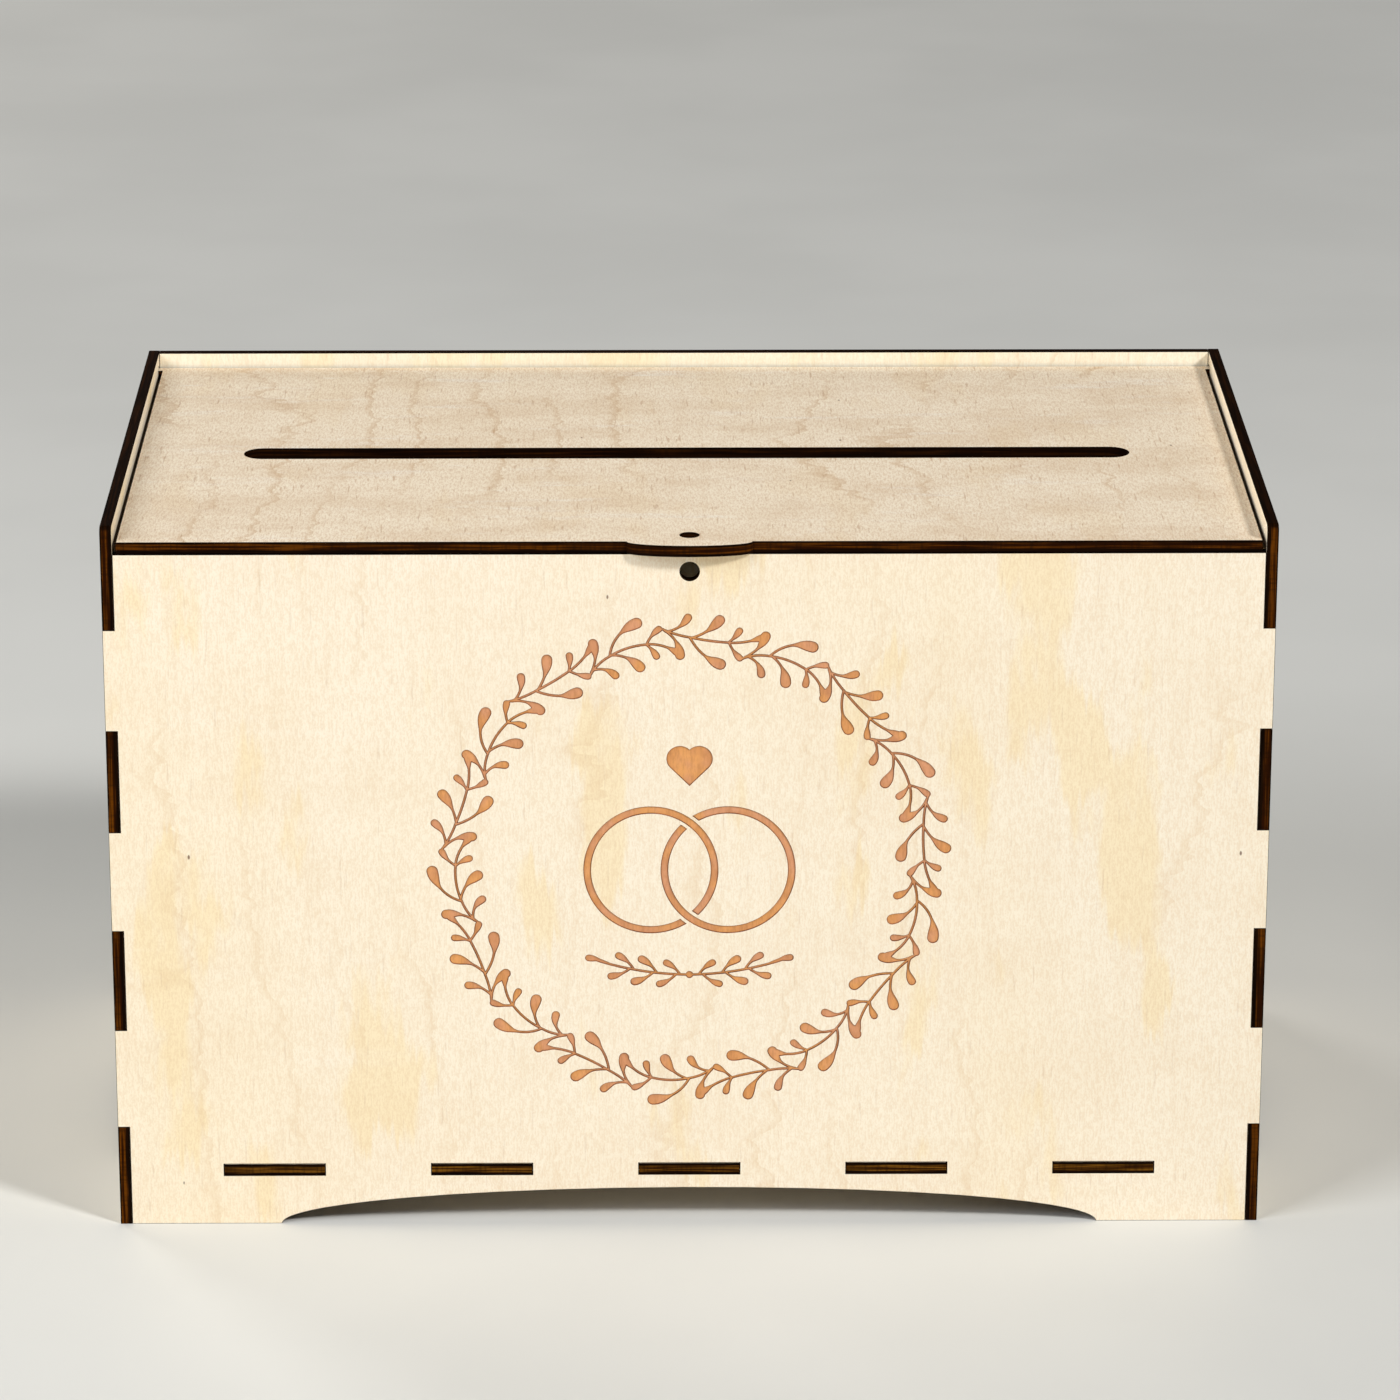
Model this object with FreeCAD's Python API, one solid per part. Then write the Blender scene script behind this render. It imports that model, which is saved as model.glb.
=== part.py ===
# Card box for a wedding: five laser-cut plywood boards with finger joints, and a hinged lid.
# Frame: millimetres, +X to the box's right, +Y to its back, +Z up, origin on the table under the middle.

import FreeCAD
import Part
import math
import os

# Outer size
BOX_WIDTH = 300.0         # across the outer faces of the two side boards
BOX_DEPTH = 170.0         # front face to rear face
BOX_HEIGHT = 192.0        # table to rim
BOARD = 3.0               # plywood thickness

# Finger joints up the four corners
FINGER_COUNT = 3          # fingers of the front or back board at one corner, the side board has one more
FINGER_GAP = 0.1          # between two neighbouring fingers, and beside the front and back boards' ends

# Bottom board, whose tabs pass through slots in the four walls
BOTTOM_OVER_ARCH = 3.9    # crown of the arched lower edges to the underside of the bottom board
FRONT_TAB_COUNT = 5       # tabs into the front board, and as many into the back board
SIDE_TAB_COUNT = 3        # tabs into each side board
SLOT_EASE = 0.3           # each end of a slot inside its step of the tab pattern
TAB_PLAY = 0.15           # all round a tab in its slot

# Arched lower edges, which leave a foot at each corner
FOOT_LENGTH = 42.6        # corner to the start of the arch
ARCH_RISE = 9.9           # table to the crown of the arch

# Rim
RIM_REVEAL = 4.0          # rim above the lid's top face
RIM_CORNER_RADIUS = 2.0   # front upper corners of the side boards

# Lid
LID_SEAT_GAP = 0.3        # front board's top edge to the lid's underside
LID_SIDE_GAP = 1.1        # lid to each side board
LID_SWING_GAP = 0.28      # least gap to the back board as the lid's rear edge swings past
CARD_SLOT_MARGIN = 27.9   # lid's side edge to the end of the card slot
CARD_SLOT_WIDTH = 10.0
CARD_SLOT_SETBACK = 80.4  # front face to the slot's centre line
PULL_TAB_WIDTH = 32.2     # where the rounded pull tab leaves the lid's front edge
PULL_TAB_REACH = 4.0      # how far the pull tab stands out of the front face

# Ribbon holes, one in the lid and one in the front board, to tie the box shut
TIE_HOLE_DIAMETER = 5.0
LID_TIE_SETBACK = 5.6     # lid's front edge to the hole's centre
FRONT_TIE_DROP = 4.7      # front board's top edge to the hole's centre

# Hinge: square ears of the lid turn in round holes in the side boards
EAR_PLAY = 0.2            # ear's corners to the hole
EAR_INSET = 0.2           # ear's end inside the side board's outer face

# Cutters reach this far past the faces that they cut
OVERRUN = 1.0

# Places that follow from the sizes
SIDE_X = BOX_WIDTH / 2
INNER_X = SIDE_X - BOARD
FRONT_Y = (PULL_TAB_REACH - BOX_DEPTH) / 2
REAR_Y = FRONT_Y + BOX_DEPTH
MIDDLE_Y = FRONT_Y + BOX_DEPTH / 2
LID_TOP = BOX_HEIGHT - RIM_REVEAL
LID_UNDERSIDE = LID_TOP - BOARD
FRONT_TOP = LID_UNDERSIDE - LID_SEAT_GAP
BOTTOM_UNDERSIDE = ARCH_RISE + BOTTOM_OVER_ARCH
BOTTOM_TOP = BOTTOM_UNDERSIDE + BOARD
EAR_RADIUS = BOARD / math.sqrt(2)
HINGE_Y = REAR_Y - BOARD - LID_SWING_GAP - EAR_RADIUS
HINGE_Z = LID_UNDERSIDE + BOARD / 2
LID_REAR = HINGE_Y + BOARD / 2
LID_HALF_WIDTH = INNER_X - LID_SIDE_GAP

# Directions
RIGHT = FreeCAD.Vector(1, 0, 0)
BACK = FreeCAD.Vector(0, 1, 0)
UP = FreeCAD.Vector(0, 0, 1)


def block(x_span, y_span, z_span):
    """A box between the low and high value on each axis."""
    spans = (x_span, y_span, z_span)
    sizes = [high - low for low, high in spans]
    corner = FreeCAD.Vector(*[low for low, high in spans])
    return Part.makeBox(*sizes, corner)


def around(centre, half):
    """The span that reaches half to each side of centre."""
    return (centre - half, centre + half)


def finger_spans(first):
    """Heights of every second corner finger: first is 0 for a side board, 1 for the front or back."""
    steps = 2 * FINGER_COUNT + 1
    step = BOX_HEIGHT / steps
    return [(index * step, (index + 1) * step) for index in range(first, steps, 2)]


def tab_centres(length, tabs):
    """Middles of the tabs along an outer length, counted from its middle."""
    step = length / (2 * tabs + 1)
    return [2 * step * (index - (tabs - 1) / 2) for index in range(tabs)]


def slot_half_length(length, tabs):
    """Half the length of one tab slot along an outer length."""
    return length / (2 * tabs + 1) / 2 - SLOT_EASE


def slot_heights():
    """Heights between which the bottom board's tabs have their slots."""
    return (BOTTOM_UNDERSIDE - TAB_PLAY, BOTTOM_TOP + TAB_PLAY)


def arch_cutter(start, along):
    """An elliptical cylinder through a board that runs along one direction from foot to foot.

    It starts at the middle of the arch, on the table, and its upper half arches the lower edge.
    """
    outer_length = BOX_WIDTH if along == RIGHT else BOX_DEPTH
    springing = start + along * (outer_length / 2 - FOOT_LENGTH)
    outline = Part.Ellipse(springing, start + UP * ARCH_RISE, start)
    return Part.Face(Part.Wire(outline.toShape())).extrude(UP.cross(along) * (BOARD + 2 * OVERRUN))


def end_board(y_span, top):
    """The front or back board between two Y values, up to the given height."""
    board = block((-SIDE_X, SIDE_X), y_span, (0, top))
    through = (y_span[0] - OVERRUN, y_span[1] + OVERRUN)
    cutters = [arch_cutter(FreeCAD.Vector(0, through[0], 0), RIGHT)]
    for low, high in finger_spans(0):
        heights = (low - FINGER_GAP, high + FINGER_GAP)
        shoulder = INNER_X - FINGER_GAP
        cutters.append(block((shoulder, SIDE_X + OVERRUN), through, heights))
        cutters.append(block((-SIDE_X - OVERRUN, -shoulder), through, heights))
    for centre in tab_centres(BOX_WIDTH, FRONT_TAB_COUNT):
        length = around(centre, slot_half_length(BOX_WIDTH, FRONT_TAB_COUNT))
        cutters.append(block(length, through, slot_heights()))
    return board.cut(cutters)


def front_panel():
    """The front board, which stops under the lid and has a ribbon hole."""
    board = end_board((FRONT_Y, FRONT_Y + BOARD), FRONT_TOP)
    centre = FreeCAD.Vector(0, FRONT_Y - OVERRUN, FRONT_TOP - FRONT_TIE_DROP)
    return board.cut(Part.makeCylinder(TIE_HOLE_DIAMETER / 2, BOARD + 2 * OVERRUN, centre, BACK))


def back_panel():
    """The back board, as high as the rim."""
    return end_board((REAR_Y - BOARD, REAR_Y), BOX_HEIGHT)


def right_side_panel():
    """The right side board, with the round hole that the lid's ear turns in."""
    board = block((INNER_X, SIDE_X), (FRONT_Y, REAR_Y), (0, BOX_HEIGHT))
    through = (INNER_X - OVERRUN, SIDE_X + OVERRUN)
    cutters = [arch_cutter(FreeCAD.Vector(through[1], MIDDLE_Y, 0), BACK)]
    for heights in finger_spans(1):
        cutters.append(block(through, (FRONT_Y - OVERRUN, FRONT_Y + BOARD), heights))
        cutters.append(block(through, (REAR_Y - BOARD, REAR_Y + OVERRUN), heights))
    for centre in tab_centres(BOX_DEPTH, SIDE_TAB_COUNT):
        length = around(MIDDLE_Y + centre, slot_half_length(BOX_DEPTH, SIDE_TAB_COUNT))
        cutters.append(block(through, length, slot_heights()))
    hole_start = FreeCAD.Vector(INNER_X - OVERRUN, HINGE_Y, HINGE_Z)
    cutters.append(Part.makeCylinder(EAR_RADIUS + EAR_PLAY, BOARD + 2 * OVERRUN, hole_start, RIGHT))
    board = board.cut(cutters)
    corner = FreeCAD.Vector(INNER_X + BOARD / 2, FRONT_Y, BOX_HEIGHT)
    corner_edge = min(board.Edges, key=lambda edge: (edge.CenterOfMass - corner).Length)
    return board.makeFillet(RIM_CORNER_RADIUS, [corner_edge])


def left_side_panel():
    """The left side board mirrors the right one."""
    return right_side_panel().mirror(FreeCAD.Vector(0, 0, 0), RIGHT)


def bottom_panel():
    """The bottom board, seated between the walls with its tabs flush with their outer faces."""
    thickness = (BOTTOM_UNDERSIDE, BOTTOM_TOP)
    board = block((-INNER_X, INNER_X), (FRONT_Y + BOARD, REAR_Y - BOARD), thickness)
    tabs = []
    for centre in tab_centres(BOX_WIDTH, FRONT_TAB_COUNT):
        length = around(centre, slot_half_length(BOX_WIDTH, FRONT_TAB_COUNT) - TAB_PLAY)
        tabs.append(block(length, (FRONT_Y, REAR_Y), thickness))
    for centre in tab_centres(BOX_DEPTH, SIDE_TAB_COUNT):
        length = around(MIDDLE_Y + centre, slot_half_length(BOX_DEPTH, SIDE_TAB_COUNT) - TAB_PLAY)
        tabs.append(block((-SIDE_X, SIDE_X), length, thickness))
    return board.fuse(tabs).removeSplitter()


def pull_tab():
    """An elliptical disc whose front half is the rounded tab in the middle of the lid's front edge."""
    centre = FreeCAD.Vector(0, FRONT_Y, LID_UNDERSIDE)
    outline = Part.Ellipse(centre + RIGHT * (PULL_TAB_WIDTH / 2), centre - BACK * PULL_TAB_REACH, centre)
    return Part.Face(Part.Wire(outline.toShape())).extrude(UP * BOARD)


def card_slot_cutter():
    """The long card slot with its round ends, through the lid."""
    radius = CARD_SLOT_WIDTH / 2
    run = LID_HALF_WIDTH - CARD_SLOT_MARGIN - radius
    centre_y = FRONT_Y + CARD_SLOT_SETBACK
    low = LID_UNDERSIDE - OVERRUN
    height = BOARD + 2 * OVERRUN
    straight = block((-run, run), around(centre_y, radius), (low, low + height))
    ends = [Part.makeCylinder(radius, height, FreeCAD.Vector(x, centre_y, low), UP) for x in (-run, run)]
    return straight.fuse(ends)


def lid():
    """The lid with its pull tab, card slot, ribbon hole and two hinge ears."""
    thickness = (LID_UNDERSIDE, LID_TOP)
    board = block((-LID_HALF_WIDTH, LID_HALF_WIDTH), (FRONT_Y, LID_REAR), thickness)
    ear_end = SIDE_X - EAR_INSET
    ears = block((-ear_end, ear_end), (LID_REAR - BOARD, LID_REAR), thickness)
    board = board.fuse([ears, pull_tab()]).removeSplitter()
    hole_start = FreeCAD.Vector(0, FRONT_Y + LID_TIE_SETBACK, LID_UNDERSIDE - OVERRUN)
    tie_hole = Part.makeCylinder(TIE_HOLE_DIAMETER / 2, BOARD + 2 * OVERRUN, hole_start, UP)
    return board.cut([card_slot_cutter(), tie_hole])


NODES = {
    "front_panel": front_panel,
    "back_panel": back_panel,
    "left_side_panel": left_side_panel,
    "right_side_panel": right_side_panel,
    "bottom_panel": bottom_panel,
    "lid": lid,
}

os.makedirs("parts", exist_ok=True)
for name, make in NODES.items():
    solid = make()
    solid.exportStep(f"parts/{name}.step")
    print(f"{name}: {len(solid.Solids)} solid, {solid.Volume / 1000:.2f} cm3, valid {solid.isValid()}")
print(f"Lid hinge axis at y {HINGE_Y:.3f}, z {HINGE_Z:.3f}")
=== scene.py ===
# Looks of the wedding card box: laser-cut birch boards with charred edges and an engraved front.
import math
from typing import NamedTuple

import bpy
import numpy as np
from mathutils import Matrix, Vector
from mathutils.geometry import delaunay_2d_cdt


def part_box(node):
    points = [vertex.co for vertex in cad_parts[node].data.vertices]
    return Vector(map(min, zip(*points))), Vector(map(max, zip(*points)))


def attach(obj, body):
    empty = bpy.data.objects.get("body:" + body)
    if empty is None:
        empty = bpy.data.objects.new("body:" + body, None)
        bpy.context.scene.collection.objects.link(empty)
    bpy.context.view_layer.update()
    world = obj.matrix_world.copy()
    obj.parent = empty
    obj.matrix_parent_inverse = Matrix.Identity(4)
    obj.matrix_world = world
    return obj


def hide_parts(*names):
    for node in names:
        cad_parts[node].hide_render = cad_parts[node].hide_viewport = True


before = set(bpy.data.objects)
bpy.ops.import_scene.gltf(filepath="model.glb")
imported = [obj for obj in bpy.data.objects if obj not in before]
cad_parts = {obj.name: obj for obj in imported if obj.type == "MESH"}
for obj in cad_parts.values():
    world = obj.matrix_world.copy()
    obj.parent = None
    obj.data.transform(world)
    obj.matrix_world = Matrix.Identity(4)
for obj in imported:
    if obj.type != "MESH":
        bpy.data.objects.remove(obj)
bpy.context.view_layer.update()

MM = 0.001


class Pattern(NamedTuple):
    """A noise: its cells per metre across and along an axis, its seed and the range that shows."""

    across: float
    along: float
    seed: float
    low: float = 0.0
    high: float = 1.0
    detail: float = 2.0
    roughness: float = 0.5


# Boards: the name of each one's piece, the body that carries it, the axis through its thickness and the
# axis of its face grain
BOARDS = {
    "front_panel": ("front_board", "box", "Y", "Z"),
    "back_panel": ("back_board", "box", "Y", "Z"),
    "left_side_panel": ("left_side_board", "box", "X", "Z"),
    "right_side_panel": ("right_side_board", "box", "X", "Z"),
    "bottom_panel": ("bottom_board", "box", "Z", "X"),
    "lid": ("lid_board", "lid", "Z", "Y"),
}
ENGRAVED_NODE = "front_panel"
EDGE_EASE = 0.12 * MM            # how far the sharp edges of a cut are eased
SMOOTH_ANGLE = math.radians(30)  # cut walls that turn by less are shaded as one round

# Numbers of a board's materials, in the order in which the board gets them
FACE, EDGE, INNER_EDGE, ENGRAVED_FLOOR, ENGRAVED_RIM_SHADE = range(5)

# Reading a board's outlines from its node and filling them
SAME_POINT = 0.001 * MM          # grid on which the mesh's corners are matched
SAME_LEVEL = 0.01 * MM           # how far a corner of the face may lie from its level
LEAST_TURN = 1e-4                # sine of the smallest turn that counts as a corner
MERGED_POINTS = 1e-7             # points this near, in millimetres, are filled as one
WHOLE_HULL = 0                   # the kind of fill that covers all points, to be cut to the outlines

# Engraving on the front board
ENGRAVING_DEPTH = 0.30 * MM
ENGRAVING_RIM = 0.17 * MM        # width of the sloping rim round each engraved shape, which is painted darker as shade
FIELD_STEP = 0.10 * MM           # grid on which the engraved shapes are joined
FIELD_MARGIN = 1.0 * MM
OUTLINE_TOLERANCE = 0.010 * MM

# From side to side of a grid cell for each set of its corners that lie inside, with the inside on the left
CELL_PATHS = {
    1: [(0, 3)], 2: [(1, 0)], 3: [(1, 3)], 4: [(2, 1)], 5: [(0, 3), (2, 1)], 6: [(2, 0)], 7: [(2, 3)],
    8: [(3, 2)], 9: [(0, 2)], 10: [(1, 0), (3, 2)], 11: [(1, 2)], 12: [(3, 1)], 13: [(0, 1)], 14: [(3, 0)],
}
ALL_INSIDE = 15

# Wreath: sprigs along a ring, alternately mirrored
WREATH_CENTRE = Vector((0.0, 100.9 * MM))
WREATH_RADIUS = 60.7 * MM
SPRIG_COUNT = 18
SPRIG_LENGTH = 2 * math.pi * WREATH_RADIUS / SPRIG_COUNT
SPRIG_REACH = 8.0 * MM           # the room for a sprig beside the ring
FIRST_SPRIG = 13.8 * MM          # from the top of the ring to the first sprig, clockwise
PETIOLE_RADIUS = 0.36 * MM       # of the thin part of each leaf
LEAF_SWELL = 3.5                 # how far back from its tip a leaf swells, in radii of its bulb
LEAF_FULL = 0.3                  # how far back it is at its widest, in the same radii
DOT_SPACING = 0.08 * MM          # strokes are drawn as rows of overlapping dots

# Strokes of one sprig, in millimetres along and outwards: start, end, sideways bend as a share, end radius
SPRIG_STROKES = (
    ((0.5, -3.5), (7.4, -0.75), 0.11, 0.35),
    ((7.4, -0.75), (17.5, -0.15), 0.085, 0.35),
    ((1.2, -2.9), (4.75, 4.0), -0.23, 1.30),
    ((2.2, -2.6), (7.0, -6.05), 0.25, 1.08),
    ((7.5, -0.6), (16.1, 5.95), 0.24, 1.50),
    ((8.0, -0.6), (14.4, -5.75), 0.19, 1.42),
    ((17.5, -0.3), (19.5, -3.7), 0.10, 0.95),
    ((17.6, -0.1), (25.3, -3.4), 0.14, 0.95),
    ((17.5, -0.1), (21.1, 3.45), 0.12, 0.92),
)

# Motif inside the wreath: two linked rings between a small heart and a short garland
RINGS_CENTRE = Vector((0.0, 99.0 * MM))
RINGS_APART = 20.0 * MM
RINGS_RADIUS = 16.5 * MM
RINGS_BAND = 2.0 * MM
RINGS_CROSSING_GAP = 0.8 * MM
HEART_CENTRE = Vector((0.0, 127.0 * MM))
HEART_SIDE = 7.0 * MM
GARLAND_CENTRE = Vector((0.0, 70.0 * MM))
GARLAND_BUD = 1.0 * MM

# Strokes of the garland's right half, as in a sprig
GARLAND_STROKES = (
    ((0.0, 0.0), (24.0, 4.0), -0.08, 0.35),
    ((2.5, 0.1), (6.0, 3.3), 0.15, 0.95),
    ((3.5, 0.1), (7.8, -2.6), -0.15, 0.95),
    ((8.5, 0.5), (12.4, 4.3), 0.15, 1.10),
    ((9.5, 0.6), (14.3, -1.9), -0.15, 1.10),
    ((14.5, 1.5), (18.4, 5.3), 0.15, 1.00),
    ((15.5, 1.7), (20.4, -0.4), -0.15, 1.00),
    ((21.0, 3.1), (26.2, 4.7), 0.10, 0.95),
)

# Noise in general
SEED_SHIFT = (1.0, 1.7, 2.3)     # how far a seed of 1 moves a pattern, in cells
NOISE_MIDDLE = 0.5
NOISE_SPAN = (0.3, 0.7)          # the values that a noise mostly takes

# Numbers of a colour mix node's inputs and of its output
MIX_SHARE, MIX_FIRST, MIX_SECOND = 0, 6, 7
MIX_RESULT = 2

# Veneers: screen colours of the ground, its patches and its darker lines, and how strongly the figure shows
WALL_VENEER = {"pale": (251, 240, 219), "warm": (247, 221, 160), "line": (222, 188, 140), "patch": 0.40,
               "growth": 0.22, "cloud": 0.07, "ripple": 0.10, "fibre": 0.28, "pore": 0.14}
# The back board's veneer is a lighter, warmer copy of the walls': painted light for its brightly lit inner
# face
BACK_VENEER_PAINTED_LIGHT = WALL_VENEER | {"pale": (255, 249, 229), "warm": (255, 237, 188), "patch": 0.36, "fibre": 0.18}
LID_VENEER = {"pale": (253, 240, 217), "warm": (244, 222, 186), "line": (202, 164, 120), "patch": 0.25,
              "growth": 0.40, "cloud": 0.22, "ripple": 0.45, "fibre": 0.44, "pore": 0.40}
VENEERS = {
    "front_panel": WALL_VENEER | {"seed": 3.0},
    "back_panel": BACK_VENEER_PAINTED_LIGHT | {"seed": 31.0},
    "left_side_panel": WALL_VENEER | {"seed": 47.0},
    "right_side_panel": WALL_VENEER | {"seed": 71.0},
    "bottom_panel": LID_VENEER | {"seed": 93.0},
    "lid": LID_VENEER | {"seed": 112.0},
}
VENEER_SPECULAR = 0.2
VENEER_ROUGHNESS = (0.55, 0.70)
VENEER_BUMP = 0.03 * MM

# Patterns of a veneer along its grain, with seeds that add to the board's own
GROUND = Pattern(9, 3, seed=3, low=0.35, high=0.65, detail=3)
GROUND_STRENGTH = 0.18
PATCH = Pattern(44, 18, seed=7, low=0.54, high=0.62, detail=3, roughness=0.55)
PATCH_FRAY = Pattern(800, 16, seed=0)
FRAY_LENGTH = 20.0 * MM          # between the farthest ends of the fibres at a patch's border
CLOUD = Pattern(28, 55, seed=21, low=0.42, high=0.66, detail=4, roughness=0.6)
RIPPLE = Pattern(22, 130, seed=19, low=0.56, high=0.72, detail=4, roughness=0.65)
RIPPLE_COLOUR = (255, 250, 240)
FIBRE = Pattern(2000, 420, seed=11, low=0.42, high=0.60, detail=3)
FIBRE_SPECK = Pattern(2600, 1400, seed=15, roughness=0.6)
STREAK = Pattern(420, 45, seed=13, low=0.45, high=0.72, detail=3)
STREAK_STRENGTH = 0.08
PORE = Pattern(1300, 110, seed=17, low=0.64, high=0.76, detail=1)
PORE_COLOUR = (176, 128, 80)

# Growth rings of a veneer: how many in a metre, by how many they wander and jag, and the dark end of each
GROWTH_PER_METRE = 44
GROWTH_WANDER = Pattern(14, 5, seed=9, roughness=0.4)
GROWTH_WANDER_REACH = 5.0
GROWTH_JAG = Pattern(30, 90, seed=14, detail=3, roughness=0.6)
GROWTH_JAG_REACH = 0.9
GROWTH_LINE = (0.84, 0.985)
GROWTH_PRESENCE = Pattern(22, 11, seed=23, low=0.42, high=0.62)

# Flecks of a veneer: a grid of cells per metre across and along the grain, with one spot in each cell
FLECK_GRID = (60, 30)
FLECK_RADIUS = 0.024             # in cells, so small that few of the spots reach the surface
FLECK_STRENGTH = 0.8
FLECK_COLOUR = (96, 58, 30)

# Charred edges: the middle of the brown core as a share of a board's thickness, with its darker and lighter
# screen colour. Each middle is moved away from the board's inner side, which includes the lid's underside,
# so more dark ply shows there: painted shade
RED_BROWN = ((42, 15, 1), (104, 56, 6))
OCHRE_BROWN = ((46, 21, 3), (122, 80, 22))
DARK_BROWN = ((36, 12, 1), (90, 47, 5))
SHADE_SHIFTED_CORES = {
    "front_panel": (0.42, RED_BROWN),
    "back_panel": (0.58, RED_BROWN),
    "left_side_panel": (0.40, RED_BROWN),
    "right_side_panel": (0.60, RED_BROWN),
    "bottom_panel": (0.48, OCHRE_BROWN),
    "lid": (0.56, DARK_BROWN),
}
CORE_FADE = (0.34, 0.20)         # how far from its middle the core is hidden, and how far it is clear
CORE_WOBBLE = 0.07               # how far the core strays, as a share of the thickness too
EDGE_SOOT = {"_edge": 0.0, "_inner_edge": 0.75}  # how far soot hides the core in outer and inner cuts
SOOT_COLOURS = ((10, 4, 1), (28, 12, 3))
SCORCHED_CORE = (30, 10, 1)
LEAST_CORE = 0.45                # how much of the core's brown a scorched patch leaves
HATCH_COLOUR = (26, 11, 3)
HATCH_STRENGTH = 0.45
UPWARD = (0.3, 0.8)              # the upward part of a surface's normal, in the world, over which a cut is darkened to the soot colour
UPWARD_DARKENING = 0.9
EDGE_SPECULAR = 0.02
EDGE_ROUGHNESS = (0.60, 0.80)
EDGE_BUMP = 0.05 * MM

# Patterns of an edge, along the board's thickness
WOBBLE = Pattern(90, 20, seed=2, low=0.2, high=0.8)
CHAR_STREAK = Pattern(45, 1900, seed=5, detail=3, roughness=0.6)
CORE_STREAKS = (0.42, 0.64)      # the range of the streaks that shows in the core
SOOT_STREAKS = (0.35, 0.70)      # and in the soot
CHAR_PATCH = Pattern(40, 30, seed=8, low=0.38, high=0.58, detail=3, roughness=0.6)
HATCH = Pattern(1300, 120, seed=11, low=0.45, high=0.70)

# Engraved surfaces
ENGRAVED_FINISH = {"Specular IOR Level": 0.1, "Roughness": 0.75}
SCORCH_PATCH = Pattern(110, 110, seed=1, low=0.38, high=0.62)
SCORCH_COLOURS = ((222, 160, 120), (230, 164, 100))
SCORCH_SHADE = Pattern(160, 160, seed=7, low=0.35, high=0.65, detail=3, roughness=0.6)
SCORCH_SHADE_STRENGTH = 0.5
SCORCH_SHADE_COLOUR = (202, 138, 92)
SCORCH_FIBRE = Pattern(1700, 420, seed=3, low=0.40, high=0.70, detail=3, roughness=0.6)
SCORCH_FIBRE_STRENGTH = 0.35
SCORCH_FIBRE_COLOUR = (172, 112, 68)
SCORCH_BUMP = 0.04 * MM
# Painted shade on the engraved rims: a mottled darker brown
RIM_SHADE_PATCH = Pattern(260, 260, seed=4, low=0.35, high=0.65)
RIM_SHADE_COLOURS = ((106, 60, 34), (146, 94, 60))

# Floor
FLOOR_SIZE = 12.0
FLOOR_FINISH = {"Roughness": 0.6, "Specular IOR Level": 0.2}
FLOOR_MOTTLE = Pattern(6, 6, 0, *NOISE_SPAN, detail=3)
FLOOR_COLOURS = ((216, 217, 214), (222, 223, 220))

# Studio lights: place, size, power and colour of each, all turned to one point of the box
LIGHTS = {
    "key": ((2.70, -2.20, 2.61), 0.6, 132, (1.0, 0.98, 0.96)),
    "side": ((-1.30, -1.00, 1.20), 1.0, 23, (1.0, 1.0, 1.0)),
    "back": ((-2.40, 3.20, 0.90), 1.2, 84, (1.0, 0.95, 0.88)),
}
LIT_POINT = Vector((0.0, 0.0, 0.1))
SURROUND_COLOUR = (0.92, 0.96, 1.0, 1.0)
SURROUND_STRENGTH = 0.10

# Camera, in the frame of the box
PHOTO_SIDE = 1400.0              # pixels
FOCAL_LENGTH = 6099.8            # in the same pixels
CAMERA_PLACE = Vector((-13.7, -1566.4, 644.0)) * MM
CAMERA_PITCH = math.radians(18.576)
CAMERA_YAW = math.radians(-0.632)
CAMERA_ROLL = math.radians(0.069)
CAMERA_SENSOR = 36.0             # millimetres, as Blender takes it
CAMERA_REACH = (0.05, 50.0)      # nearest and farthest distance that is drawn


def axis_number(axis):
    """0, 1 or 2 for X, Y or Z."""
    return "XYZ".index(axis)


def plane_axes(across):
    """The axes of a board's plane, which follow the axis through the board in X, Y, Z order."""
    return [(across + 1) % 3, (across + 2) % 3]


def to_space(points, level, across):
    """Points of a board's plane as points in space."""
    placed = np.empty((len(points), 3))
    placed[:, across] = level
    placed[:, plane_axes(across)] = points
    return placed


def closed_loops(following):
    """The closed rows of keys in a table that gives the key after each key."""
    loops = []
    while following:
        first, key = following.popitem()
        loop = [first]
        while key != first:
            loop.append(key)
            key = following.pop(key)
        loops.append(loop)
    return loops


def without_straight_points(loop):
    """A closed outline without the points that lie on a straight stretch."""
    before = loop - np.roll(loop, 1, axis=0)
    after = np.roll(loop, -1, axis=0) - loop
    turn = before[:, 0] * after[:, 1] - before[:, 1] * after[:, 0]
    length = np.hypot(*before.T) * np.hypot(*after.T)
    return loop[np.abs(turn) > LEAST_TURN * length]


def board_outlines(node, across):
    """Outlines of a board's flat face, with the wood on their left, and its lowest and highest level."""
    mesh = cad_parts[node].data
    mesh.calc_loop_triangles()
    places = np.array([vertex.co for vertex in mesh.vertices])
    low, high = places[:, across].min(), places[:, across].max()
    keys = [tuple(key) for key in np.round(places / SAME_POINT).astype(int)]
    place_of = dict(zip(keys, places))
    sides = set()
    for triangle in mesh.loop_triangles:
        corners = [keys[index] for index in triangle.vertices]
        if all(abs(place_of[corner][across] - high) < SAME_LEVEL for corner in corners):
            sides.update(zip(corners, corners[1:] + corners[:1]))
    border = {start: end for start, end in sides if (end, start) not in sides}
    plane = plane_axes(across)
    loops = [np.array([place_of[key] for key in loop])[:, plane] for loop in closed_loops(border)]
    return [without_straight_points(loop) for loop in loops], low, high


def turns_left(loop):
    """Whether a closed outline runs anticlockwise, as the outer one of a board does."""
    after = np.roll(loop, -1, axis=0)
    return np.sum(loop[:, 0] * after[:, 1] - loop[:, 1] * after[:, 0]) > 0


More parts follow.
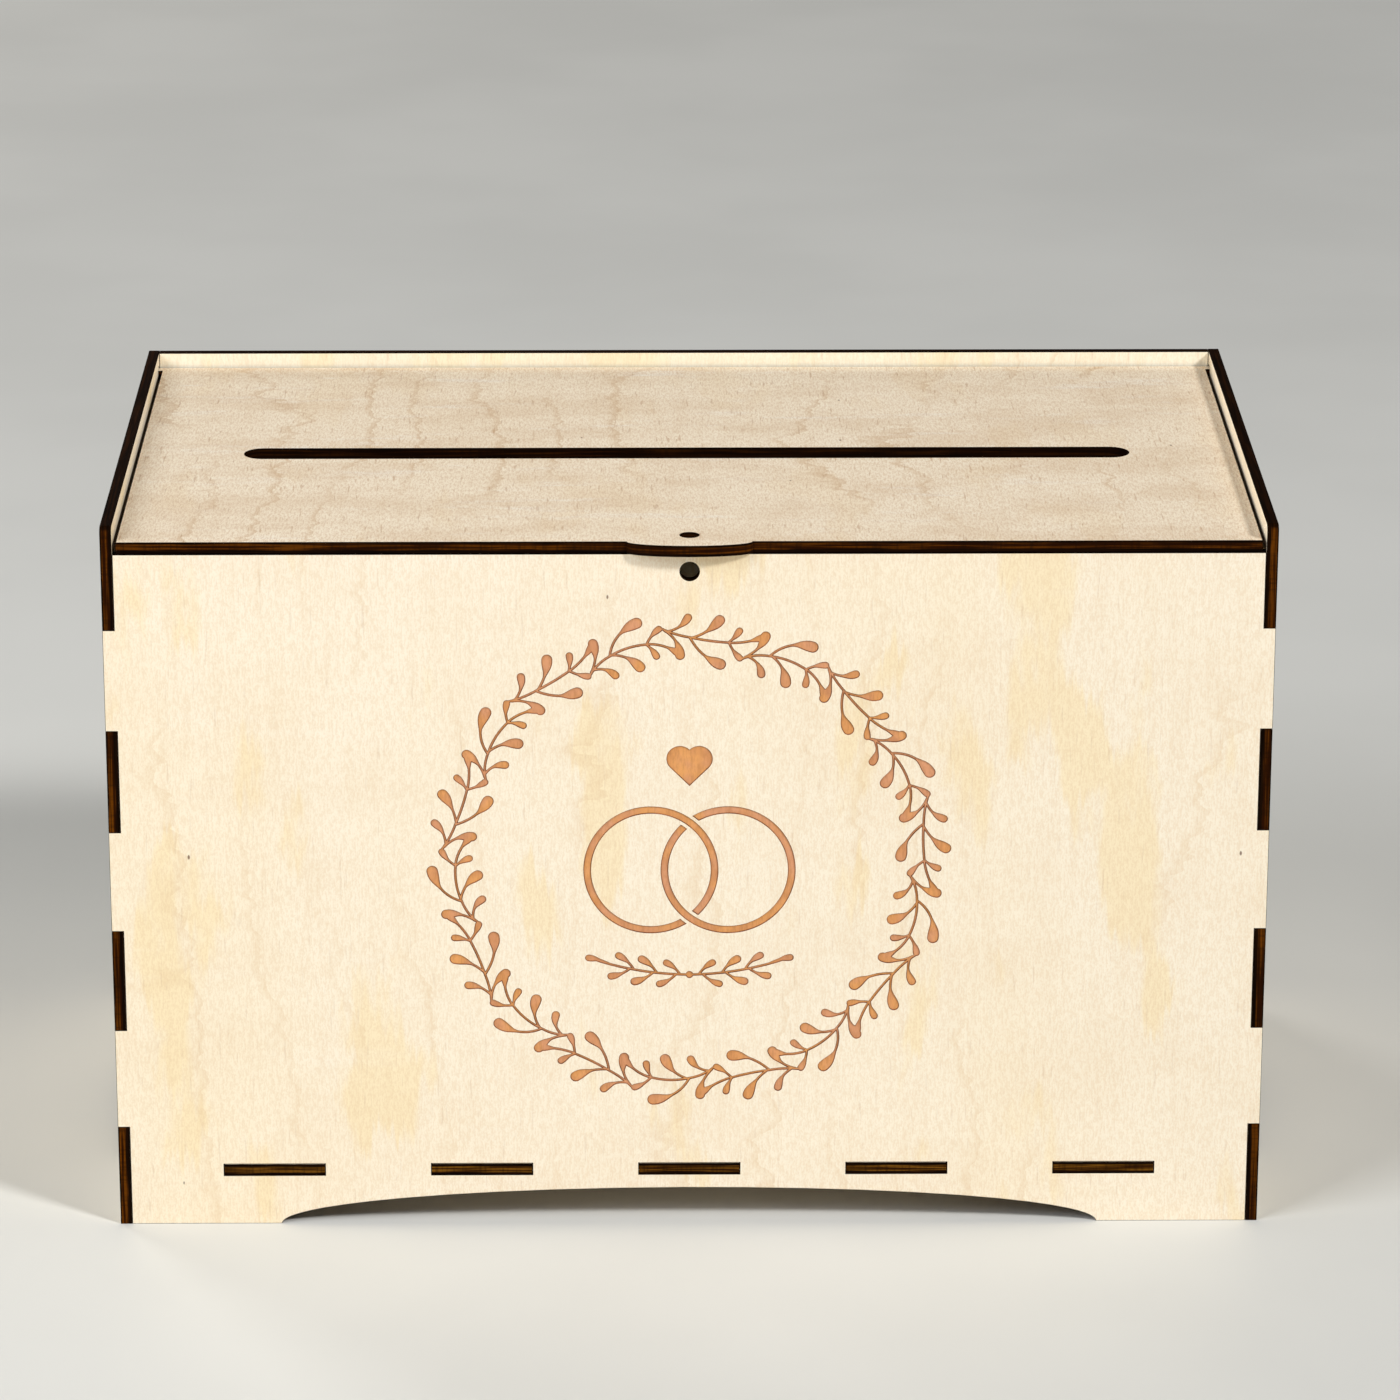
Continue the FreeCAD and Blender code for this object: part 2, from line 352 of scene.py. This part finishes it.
def inset(loop, distance):
    """A closed outline moved to its left by a small distance."""
    ahead = np.roll(loop, -1, axis=0) - loop
    ahead /= np.hypot(*ahead.T)[:, None]
    left_after = np.column_stack((-ahead[:, 1], ahead[:, 0]))
    left_before = np.roll(left_after, 1, axis=0)
    share = 1 + np.sum(left_before * left_after, axis=1)
    return loop + distance * (left_before + left_after) / share[:, None]


def inside(points, loops):
    """Which points lie inside an odd number of the closed outlines."""
    odd = np.zeros(len(points), bool)
    for loop in loops:
        for (x0, y0), (x1, y1) in zip(loop, np.roll(loop, -1, axis=0)):
            if y0 == y1:
                continue
            spans = (points[:, 1] < y0) != (points[:, 1] < y1)
            odd ^= spans & (points[:, 0] < x0 + (points[:, 1] - y0) * (x1 - x0) / (y1 - y0))
    return odd


def filled(loops, border_count):
    """Triangles over the area that the first border_count outlines enclose, with every outline as edges.

    Also gives all corner points: the outlines' own, then one for each place where two outlines cross.
    """
    points = [Vector(point) / MM for loop in loops for point in loop]
    edges, first = [], 0
    for loop in loops:
        ring = list(range(first, first + len(loop)))
        edges += zip(ring, ring[1:] + ring[:1])
        first += len(loop)
    fill = delaunay_2d_cdt(points, edges, [], WHOLE_HULL, MERGED_POINTS, True)
    places, _, faces, origins, *_ = fill
    numbers = []
    for place, origin in zip(places, origins):
        numbers.append(origin[0] if origin else len(points))
        if not origin:
            points.append(place)
    corners = np.array(points) * MM
    triangles = np.array([[numbers[corner] for corner in face] for face in faces])
    kept = inside(corners[triangles].mean(axis=1), loops[:border_count])
    return triangles[kept], corners


class PieceMesh:
    """Points and faces of one piece, each face with the number of its material."""

    def __init__(self):
        self.points = []
        self.faces = []
        self.materials = []

    def add_points(self, places):
        """Adds points and gives the number of the first."""
        first = len(self.points)
        self.points += [tuple(place) for place in places]
        return first

    def add_faces(self, faces, material):
        """Adds faces, each a row of point numbers."""
        self.faces += [tuple(int(corner) for corner in face) for face in faces]
        self.materials += [material] * len(faces)

    def finish(self, name, materials):
        """The piece as an object of the scene."""
        mesh = bpy.data.meshes.new(name)
        mesh.from_pydata(self.points, [], self.faces)
        for material in materials:
            mesh.materials.append(material)
        mesh.polygons.foreach_set("material_index", self.materials)
        mesh.shade_smooth()
        mesh.set_sharp_from_angle(angle=SMOOTH_ANGLE)
        mesh.validate()
        piece = bpy.data.objects.new(name, mesh)
        bpy.context.scene.collection.objects.link(piece)
        return piece


def board_piece(node, materials, engraving=None):
    """A board with eased edges, built on its node's outlines, with any engraving on its low side."""
    name, body, axis, _ = BOARDS[node]
    across = axis_number(axis)
    loops, low, high = board_outlines(node, across)
    caps = [inset(loop, EDGE_EASE) for loop in loops]
    mesh = PieceMesh()
    rings = [(caps, low), (loops, low + EDGE_EASE), (loops, high - EDGE_EASE), (caps, high)]
    starts = [mesh.add_points(to_space(np.vstack(outlines), level, across)) for outlines, level in rings]
    low_cap, high_cap = starts[0], starts[-1]
    first = 0
    for loop in loops:
        ring = np.arange(len(loop)) + first
        after = np.roll(ring, -1)
        material = EDGE if turns_left(loop) else INNER_EDGE
        for near, far in zip(starts, starts[1:]):
            mesh.add_faces(np.column_stack((ring + near, after + near, after + far, ring + far)), material)
        first += len(loop)
    triangles, _ = filled(caps, len(caps))
    mesh.add_faces(triangles + high_cap, FACE)
    if engraving is None:
        mesh.add_faces(triangles[:, ::-1] + low_cap, FACE)
    else:
        add_engraved_side(mesh, caps, low, across, low_cap, engraving)
    piece = mesh.finish(name, materials)
    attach(piece, body)
    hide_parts(node)


def add_engraved_side(mesh, caps, level, across, first_cap_point, engraving):
    """The low side of a board with sunk shapes: their rims slope from the face down to flat floors."""
    tops, floors = engraving.outlines(0.0), engraving.outlines(-ENGRAVING_RIM)
    triangles, corners = filled(caps + tops + floors, len(caps))
    cap_count = sum(len(cap) for cap in caps)
    sunk = np.clip(-engraving.at(corners[cap_count:]) / ENGRAVING_RIM, 0, 1) * ENGRAVING_DEPTH
    start = mesh.add_points(to_space(corners[cap_count:], level + sunk, across))
    numbers = np.append(np.arange(cap_count) + first_cap_point, np.arange(len(sunk)) + start)
    inwards = engraving.at(corners[triangles].mean(axis=1))
    floor = inwards < -ENGRAVING_RIM
    rim = (inwards < 0) & ~floor
    # floors get the scorched wood, rims the painted shade, the rest the face's veneer
    for chosen, material in ((floor, ENGRAVED_FLOOR), (rim, ENGRAVED_RIM_SHADE), (~floor & ~rim, FACE)):
        mesh.add_faces(numbers[triangles[chosen]][:, ::-1], material)


def smooth_share(low, high, value):
    """0 below low and 1 above high, with a smooth step between."""
    share = np.clip((value - low) / (high - low), 0, 1)
    return share * share * (3 - 2 * share)


def stroke_dots(start, end, bend, bulb):
    """A curved stroke that swells towards its end, as rows of along, outwards and radius."""
    start, end, bulb = np.array(start) * MM, np.array(end) * MM, bulb * MM
    chord = end - start
    control = (start + end) / 2 + bend * np.array((-chord[1], chord[0]))
    t = np.linspace(0, 1, int(np.hypot(*chord) / DOT_SPACING))[:, None]
    line = (1 - t) ** 2 * start + 2 * t * (1 - t) * control + t ** 2 * end
    to_end = np.hypot(*(line - end).T)[:, None]
    swell = 1 - smooth_share(LEAF_FULL * bulb, LEAF_SWELL * bulb, to_end)
    return np.hstack((line, PETIOLE_RADIUS + (bulb - PETIOLE_RADIUS) * swell))


def wreath_dots():
    """The wreath's sprigs as rows of across, up and radius."""
    sprig = np.vstack([stroke_dots(*stroke) for stroke in SPRIG_STROKES])
    dots = []
    for index in range(SPRIG_COUNT):
        mirror = 1 if index % 2 == 0 else -1
        angle = math.pi / 2 - (FIRST_SPRIG + index * SPRIG_LENGTH + sprig[:, 0]) / WREATH_RADIUS
        radius = WREATH_RADIUS + mirror * sprig[:, 1]
        across = WREATH_CENTRE.x + radius * np.cos(angle)
        up = WREATH_CENTRE.y + radius * np.sin(angle)
        dots.append(np.column_stack((across, up, sprig[:, 2])))
    return np.vstack(dots)


def garland_dots():
    """A garland of two mirrored halves and a bud between them, as rows of across, up and radius."""
    half = np.vstack([[0, 0, GARLAND_BUD]] + [stroke_dots(*stroke) for stroke in GARLAND_STROKES])
    place = np.array((*GARLAND_CENTRE, 0))
    return np.vstack((place + half, place + half * (-1, 1, 1)))


class Engraving:
    """Engraved shapes joined on a grid of signed distances, negative inside. Points are up, then across."""

    def __init__(self, dots):
        reach = WREATH_RADIUS + SPRIG_REACH + FIELD_MARGIN
        self.across = np.arange(WREATH_CENTRE.x - reach, WREATH_CENTRE.x + reach, FIELD_STEP)
        self.up = np.arange(WREATH_CENTRE.y - reach, WREATH_CENTRE.y + reach, FIELD_STEP)
        self.field = np.full((len(self.up), len(self.across)), FIELD_MARGIN)
        for across, up, radius in dots:
            self.add_dot(across, up, radius)
        self.add_linked_rings()
        self.add_heart()

    def add_dot(self, across, up, radius):
        """A round dot, worked out only as far as the margin round it."""
        reach = radius + FIELD_MARGIN
        rows = slice(*np.searchsorted(self.up, (up - reach, up + reach)))
        columns = slice(*np.searchsorted(self.across, (across - reach, across + reach)))
        distance = np.hypot(self.up[rows, None] - up, self.across[None, columns] - across) - radius
        self.field[rows, columns] = np.minimum(self.field[rows, columns], distance)

    def add_linked_rings(self):
        """Two rings: the left one passes under at the lower crossing, and the right one at the upper."""
        up = self.up[:, None] - RINGS_CENTRE.y
        bands = []
        for side in (-1, 1):
            across = self.across[None, :] - RINGS_CENTRE.x - side * RINGS_APART / 2
            bands.append(np.abs(np.hypot(up, across) - RINGS_RADIUS) - RINGS_BAND / 2)
        left = np.where(up < 0, np.maximum(bands[0], RINGS_CROSSING_GAP - bands[1]), bands[0])
        right = np.where(up > 0, np.maximum(bands[1], RINGS_CROSSING_GAP - bands[0]), bands[1])
        self.field = np.minimum(self.field, np.minimum(left, right))

    def add_heart(self):
        """A heart: a square on its corner, with a half round on each of its upper sides."""
        half = HEART_SIDE / 2
        diagonal = math.sqrt(0.5)
        up = self.up[:, None] - HEART_CENTRE.y
        across = np.abs(self.across[None, :] - HEART_CENTRE.x)
        square = np.maximum(np.abs((up + across) * diagonal), np.abs((up - across) * diagonal)) - half
        lobe = np.hypot(up - half * diagonal, across - half * diagonal) - half
        self.field = np.minimum(self.field, np.minimum(square, lobe))

    def at(self, points):
        """Signed distance at points, between the grid's values."""
        row = np.clip((points[:, 0] - self.up[0]) / FIELD_STEP, 0, len(self.up) - 1)
        column = np.clip((points[:, 1] - self.across[0]) / FIELD_STEP, 0, len(self.across) - 1)
        i = np.minimum(row.astype(int), len(self.up) - 2)
        j = np.minimum(column.astype(int), len(self.across) - 2)
        s, t = row - i, column - j
        near = self.field[i, j] * (1 - t) + self.field[i, j + 1] * t
        far = self.field[i + 1, j] * (1 - t) + self.field[i + 1, j + 1] * t
        return near * (1 - s) + far * s

    def outlines(self, level):
        """Closed outlines of the shapes at one distance, found cell by cell."""
        within = self.field < level
        code = within[:-1, :-1] + 2 * within[1:, :-1] + 4 * within[1:, 1:] + 8 * within[:-1, 1:]
        following = {}
        for i, j in np.argwhere((code > 0) & (code < ALL_INSIDE)):
            sides = (("row", i, j), ("column", i + 1, j), ("row", i, j + 1), ("column", i, j))
            for start, end in CELL_PATHS[int(code[i, j])]:
                following[sides[start]] = sides[end]
        loops = [np.array([self.crossing(key, level) for key in loop]) for loop in closed_loops(following)]
        return [simplified(loop) for loop in loops]

    def crossing(self, key, level):
        """Where the outline crosses one side of a cell."""
        kind, i, j = key
        next_i, next_j = (i + 1, j) if kind == "row" else (i, j + 1)
        here, there = self.field[i, j], self.field[next_i, next_j]
        share = (level - here) / (there - here)
        return (self.up[i] + share * (self.up[next_i] - self.up[i]),
                self.across[j] + share * (self.across[next_j] - self.across[j]))


def simplified(loop):
    """A closed outline with only the points that it needs to stay within the tolerance."""
    points = np.vstack((loop, loop[:1]))
    kept = np.zeros(len(points), bool)
    kept[[0, len(loop) // 2, -1]] = True
    spans = [(0, len(loop) // 2), (len(loop) // 2, len(loop))]
    while spans:
        first, last = spans.pop()
        if last - first < 2:
            continue
        chord = points[last] - points[first]
        offset = points[first + 1:last] - points[first]
        distance = np.abs(offset[:, 0] * chord[1] - offset[:, 1] * chord[0]) / np.hypot(*chord)
        farthest = int(np.argmax(distance))
        if distance[farthest] > OUTLINE_TOLERANCE:
            middle = first + 1 + farthest
            kept[middle] = True
            spans += [(first, middle), (middle, last)]
    return points[:-1][kept[:-1]]


def linear(screen):
    """A screen colour of 0 to 255 as the shader's colour, by the screen's own curve."""
    levels = [value / 255 for value in screen]
    return [v / 12.92 if v <= 0.04045 else ((v + 0.055) / 1.055) ** 2.4 for v in levels] + [1.0]


class Shader:
    """A material that is put together node by node, on top of its surface's constant values.

    Its patterns follow an axis, where one is given, and take the shader's seed on top of their own.
    """

    def __init__(self, name, constants, axis=None, seed=0.0):
        self.axis = axis
        self.seed = seed
        self.material = bpy.data.materials.new(name)
        self.material.use_nodes = True
        self.tree = self.material.node_tree
        self.surface = self.tree.nodes["Principled BSDF"]
        for socket, value in constants.items():
            self.surface.inputs[socket].default_value = value
        self.place = self.node("ShaderNodeTexCoord", {}).outputs["Object"]

    def node(self, kind, sockets, **settings):
        """A new node with its settings made and its inputs set or linked."""
        made = self.tree.nodes.new(kind)
        for setting, value in settings.items():
            setattr(made, setting, value)
        for socket, value in sockets.items():
            self.set(made.inputs[socket], value)
        return made

    def set(self, socket, value):
        """Links an input to another node's output, or sets its constant value."""
        if isinstance(value, bpy.types.NodeSocket):
            self.tree.links.new(value, socket)
        else:
            socket.default_value = value

    def scale(self, across, along):
        """A scale in X, Y and Z with one value along the shader's axis and another across it."""
        return [along if axis == self.axis else across for axis in "XYZ"]

    def cells(self, across, along, seed=0.0, place=None):
        """The place in a pattern's cells, moved by its seed."""
        location = [(self.seed + seed) * shift for shift in SEED_SHIFT]
        sockets = {"Vector": place or self.place, "Scale": self.scale(across, along), "Location": location}
        return self.node("ShaderNodeMapping", sockets).outputs["Vector"]

    def noise(self, pattern, place=None):
        """A pattern's noise, from 0 to 1."""
        cells = self.cells(pattern.across, pattern.along, pattern.seed, place)
        sockets = {"Vector": cells, "Scale": 1.0, "Detail": pattern.detail, "Roughness": pattern.roughness}
        return self.node("ShaderNodeTexNoise", sockets).outputs[0]

    def shown(self, pattern, strength=1.0, place=None):
        """The range of a pattern's noise that shows, from 0 to a strength."""
        return self.between(self.noise(pattern, place), pattern.low, pattern.high, 0, strength)

    def math(self, operation, first, second=0.0):
        """A calculation on one or two numbers, by the name that its node has for it."""
        return self.node("ShaderNodeMath", {0: first, 1: second}, operation=operation).outputs[0]

    def between(self, value, low, high, to_low=0.0, to_high=1.0):
        """value's place from low to high, smoothly stepped, as a number from to_low to to_high."""
        sockets = {"Value": value, "From Min": low, "From Max": high, "To Min": to_low, "To Max": to_high}
        return self.node("ShaderNodeMapRange", sockets, interpolation_type="SMOOTHSTEP").outputs[0]

    def mix(self, share, first, second):
        """A colour that goes from first to second as the share goes from 0 to 1."""
        sockets = {MIX_SHARE: share, MIX_FIRST: first, MIX_SECOND: second}
        return self.node("ShaderNodeMix", sockets, data_type="RGBA").outputs[MIX_RESULT]

    def colour(self, value):
        """Sets the surface's colour."""
        self.set(self.surface.inputs["Base Color"], value)

    def roughness(self, value):
        """Sets the surface's roughness."""
        self.set(self.surface.inputs["Roughness"], value)

    def bump(self, height, distance):
        """Tilts the surface's normals as if it rose by the height times the distance."""
        sockets = {"Height": height, "Distance": distance}
        self.set(self.surface.inputs["Normal"], self.node("ShaderNodeBump", sockets).outputs["Normal"])


def frayed_place(shader):
    """The place shifted along the grain, unlike from fibre to fibre, so that patterns end in fibres."""
    uneven = shader.math("SUBTRACT", shader.noise(PATCH_FRAY), NOISE_MIDDLE)
    shift = shader.math("MULTIPLY", uneven, FRAY_LENGTH)
    along = shader.node("ShaderNodeCombineXYZ", {shader.axis: shift}).outputs[0]
    return shader.node("ShaderNodeVectorMath", {0: shader.place, 1: along}, operation="ADD").outputs[0]


def growth_lines(shader):
    """The dark end of each growth ring, jagged along the grain, which fades in and out over a board."""
    sockets = {0: shader.place, 1: shader.scale(GROWTH_PER_METRE, 0)}
    across = shader.node("ShaderNodeVectorMath", sockets, operation="DOT_PRODUCT").outputs["Value"]
    wander = shader.math("MULTIPLY", shader.noise(GROWTH_WANDER), GROWTH_WANDER_REACH)
    jag = shader.math("MULTIPLY", shader.noise(GROWTH_JAG), GROWTH_JAG_REACH)
    rings = shader.math("ADD", across, shader.math("ADD", wander, jag))
    lines = shader.between(shader.math("FRACT", rings), *GROWTH_LINE)
    return shader.math("MULTIPLY", lines, shader.shown(GROWTH_PRESENCE))


def flecks(shader):
    """A few small spots, where the middle of a cell of a grid comes close to the surface."""
    cells = shader.node("ShaderNodeTexVoronoi", {"Vector": shader.cells(*FLECK_GRID), "Scale": 1.0})
    return shader.between(cells.outputs["Distance"], FLECK_RADIUS, FLECK_RADIUS / 2, 0, FLECK_STRENGTH)


def veneer(name, grain, tone):
    """Rotary-cut birch: pale, with warm patches, growth lines, pale ripples, fibres, pores and flecks."""
    shader = Shader(name, {"Specular IOR Level": VENEER_SPECULAR}, grain, tone["seed"])
    pale, warm, line = (linear(tone[colour]) for colour in ("pale", "warm", "line"))
    fibre = shader.math("ADD", shader.noise(FIBRE), shader.noise(FIBRE_SPECK))
    fibre = shader.math("MULTIPLY", fibre, 0.5)
    pore = shader.shown(PORE, tone["pore"])
    layers = (
        (shader.shown(GROUND, GROUND_STRENGTH), warm),
        (shader.shown(PATCH, tone["patch"], frayed_place(shader)), warm),
        (shader.math("MULTIPLY", growth_lines(shader), tone["growth"]), line),
        (shader.shown(CLOUD, tone["cloud"]), line),
        (shader.shown(RIPPLE, tone["ripple"]), linear(RIPPLE_COLOUR)),
        (shader.between(fibre, FIBRE.low, FIBRE.high, 0, tone["fibre"]), line),
        (shader.shown(STREAK, STREAK_STRENGTH), line),
        (pore, linear(PORE_COLOUR)),
        (flecks(shader), linear(FLECK_COLOUR)),
    )
    colour = pale
    for share, ink in layers:
        colour = shader.mix(share, colour, ink)
    shader.colour(colour)
    shader.roughness(shader.between(fibre, *NOISE_SPAN, *VENEER_ROUGHNESS))
    shader.bump(shader.math("SUBTRACT", fibre, pore), VENEER_BUMP)
    return shader.material


def core_share(shader, low, high, middle, soot_share):
    """How clearly the brown core shows, by the place in the board's thickness from low to high."""
    place = shader.node("ShaderNodeSeparateXYZ", {"Vector": shader.place}).outputs[shader.axis]
    sockets = {"Value": place, "From Min": low, "From Max": high}
    level = shader.node("ShaderNodeMapRange", sockets).outputs[0]
    wobble = shader.between(shader.noise(WOBBLE), WOBBLE.low, WOBBLE.high, -CORE_WOBBLE, CORE_WOBBLE)
    offset = shader.math("SUBTRACT", shader.math("ADD", level, wobble), middle)
    return shader.between(shader.math("ABSOLUTE", offset), *CORE_FADE, 0, 1 - soot_share)


def charred_edge(name, axis, low, high, core, soot_share):
    """A laser-cut plywood edge: sooty outer plies round a brown core, with streaks along the board."""
    shader = Shader(name, {"Specular IOR Level": EDGE_SPECULAR}, axis)
    core_middle, core_colours = core
    streak = shader.noise(CHAR_STREAK)
    patch = shader.noise(CHAR_PATCH)
    soot = shader.mix(shader.between(streak, *SOOT_STREAKS), *map(linear, SOOT_COLOURS))
    brown = shader.mix(shader.between(streak, *CORE_STREAKS), *map(linear, core_colours))
    clear = shader.between(patch, CHAR_PATCH.low, CHAR_PATCH.high, LEAST_CORE, 1)
    brown = shader.mix(clear, linear(SCORCHED_CORE), brown)
    brown = shader.mix(shader.shown(HATCH, HATCH_STRENGTH), brown, linear(HATCH_COLOUR))
    normal = shader.node("ShaderNodeNewGeometry", {}).outputs["Normal"]
    facing_up = shader.node("ShaderNodeSeparateXYZ", {"Vector": normal}).outputs["Z"]
    # cut walls that face up in the world are darkened towards the soot colour
    brown = shader.mix(shader.between(facing_up, *UPWARD, 0, UPWARD_DARKENING), brown, soot)
    # the core sits towards each board's outer side, so the dark ply shows wider on the inner side: painted
    # shade
    shader.colour(shader.mix(core_share(shader, low, high, core_middle, soot_share), soot, brown))
    shader.roughness(shader.between(patch, *NOISE_SPAN, *EDGE_ROUGHNESS))
    shader.bump(streak, EDGE_BUMP)
    return shader.material


def engraved_floor(grain):
    """Scorched bare wood at the bottom of the engraving."""
    shader = Shader("engraved_floor", ENGRAVED_FINISH, grain)
    fibre = shader.noise(SCORCH_FIBRE)
    fibre_share = shader.between(fibre, SCORCH_FIBRE.low, SCORCH_FIBRE.high, 0, SCORCH_FIBRE_STRENGTH)
    colour = shader.mix(shader.shown(SCORCH_PATCH), *map(linear, SCORCH_COLOURS))
    shade = shader.shown(SCORCH_SHADE, SCORCH_SHADE_STRENGTH)
    colour = shader.mix(shade, colour, linear(SCORCH_SHADE_COLOUR))
    shader.colour(shader.mix(fibre_share, colour, linear(SCORCH_FIBRE_COLOUR)))
    shader.bump(fibre, SCORCH_BUMP)
    return shader.material


def painted_rim_shade():
    """Painted shade: a darker line on the sloping rim round each engraved shape, where shade falls at the
    sunk edge.
    """
    shader = Shader("painted_rim_shade", ENGRAVED_FINISH)
    shader.colour(shader.mix(shader.shown(RIM_SHADE_PATCH), *map(linear, RIM_SHADE_COLOURS)))
    return shader.material


def floor():
    """A plain pale floor, wide enough to fill the view."""
    half = FLOOR_SIZE / 2
    corners = [(-half, -half, 0), (half, -half, 0), (half, half, 0), (-half, half, 0)]
    mesh = bpy.data.meshes.new("floor")
    mesh.from_pydata(corners, [], [(0, 1, 2, 3)])
    shader = Shader("floor", FLOOR_FINISH)
    shader.colour(shader.mix(shader.shown(FLOOR_MOTTLE), *map(linear, FLOOR_COLOURS)))
    mesh.materials.append(shader.material)
    plane = bpy.data.objects.new("floor", mesh)
    bpy.context.scene.collection.objects.link(plane)


def soft_light(name, place, size, power, colour):
    """A square studio light that faces the box."""
    data = bpy.data.lights.new(name, "AREA")
    data.size = size
    data.energy = power
    data.color = colour
    lamp = bpy.data.objects.new(name, data)
    lamp.location = place
    lamp.rotation_euler = (LIT_POINT - Vector(place)).to_track_quat("-Z", "Y").to_euler()
    bpy.context.scene.collection.objects.link(lamp)


def studio():
    """A key from the front right, a nearer light from the left, a warm one low behind, an even surround."""
    for name, light in LIGHTS.items():
        soft_light(name, *light)
    world = bpy.data.worlds.new("surround")
    world.use_nodes = True
    background = world.node_tree.nodes["Background"].inputs
    background["Color"].default_value = SURROUND_COLOUR
    background["Strength"].default_value = SURROUND_STRENGTH
    bpy.context.scene.world = world
    bpy.context.scene.view_settings.view_transform = "Standard"


def camera():
    """The camera at the photograph's viewing angle."""
    data = bpy.data.cameras.new("camera")
    data.sensor_width = CAMERA_SENSOR
    data.lens = FOCAL_LENGTH / PHOTO_SIDE * CAMERA_SENSOR
    data.clip_start, data.clip_end = CAMERA_REACH
    eye = bpy.data.objects.new("camera", data)
    level = Matrix.Rotation(math.pi / 2 - CAMERA_PITCH, 4, "X")
    turn = Matrix.Rotation(CAMERA_YAW, 4, "Z")
    roll = Matrix.Rotation(CAMERA_ROLL, 4, "Z")
    eye.matrix_world = Matrix.Translation(CAMERA_PLACE) @ turn @ level @ roll
    bpy.context.scene.collection.objects.link(eye)
    bpy.context.scene.camera = eye


def card_box():
    """All boards, each with its own veneer and edges."""
    engraving = Engraving(np.vstack((wreath_dots(), garland_dots())))
    for node, (name, _, axis, grain) in BOARDS.items():
        low, high = (corner[axis_number(axis)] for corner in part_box(node))
        materials = [veneer(name + "_veneer", grain, VENEERS[node])]
        for cut, soot_share in EDGE_SOOT.items():
            materials.append(charred_edge(name + cut, axis, low, high, SHADE_SHIFTED_CORES[node], soot_share))
        if node == ENGRAVED_NODE:
            materials += [engraved_floor(grain), painted_rim_shade()]
            board_piece(node, materials, engraving)
        else:
            board_piece(node, materials)


card_box()
floor()
studio()
camera()
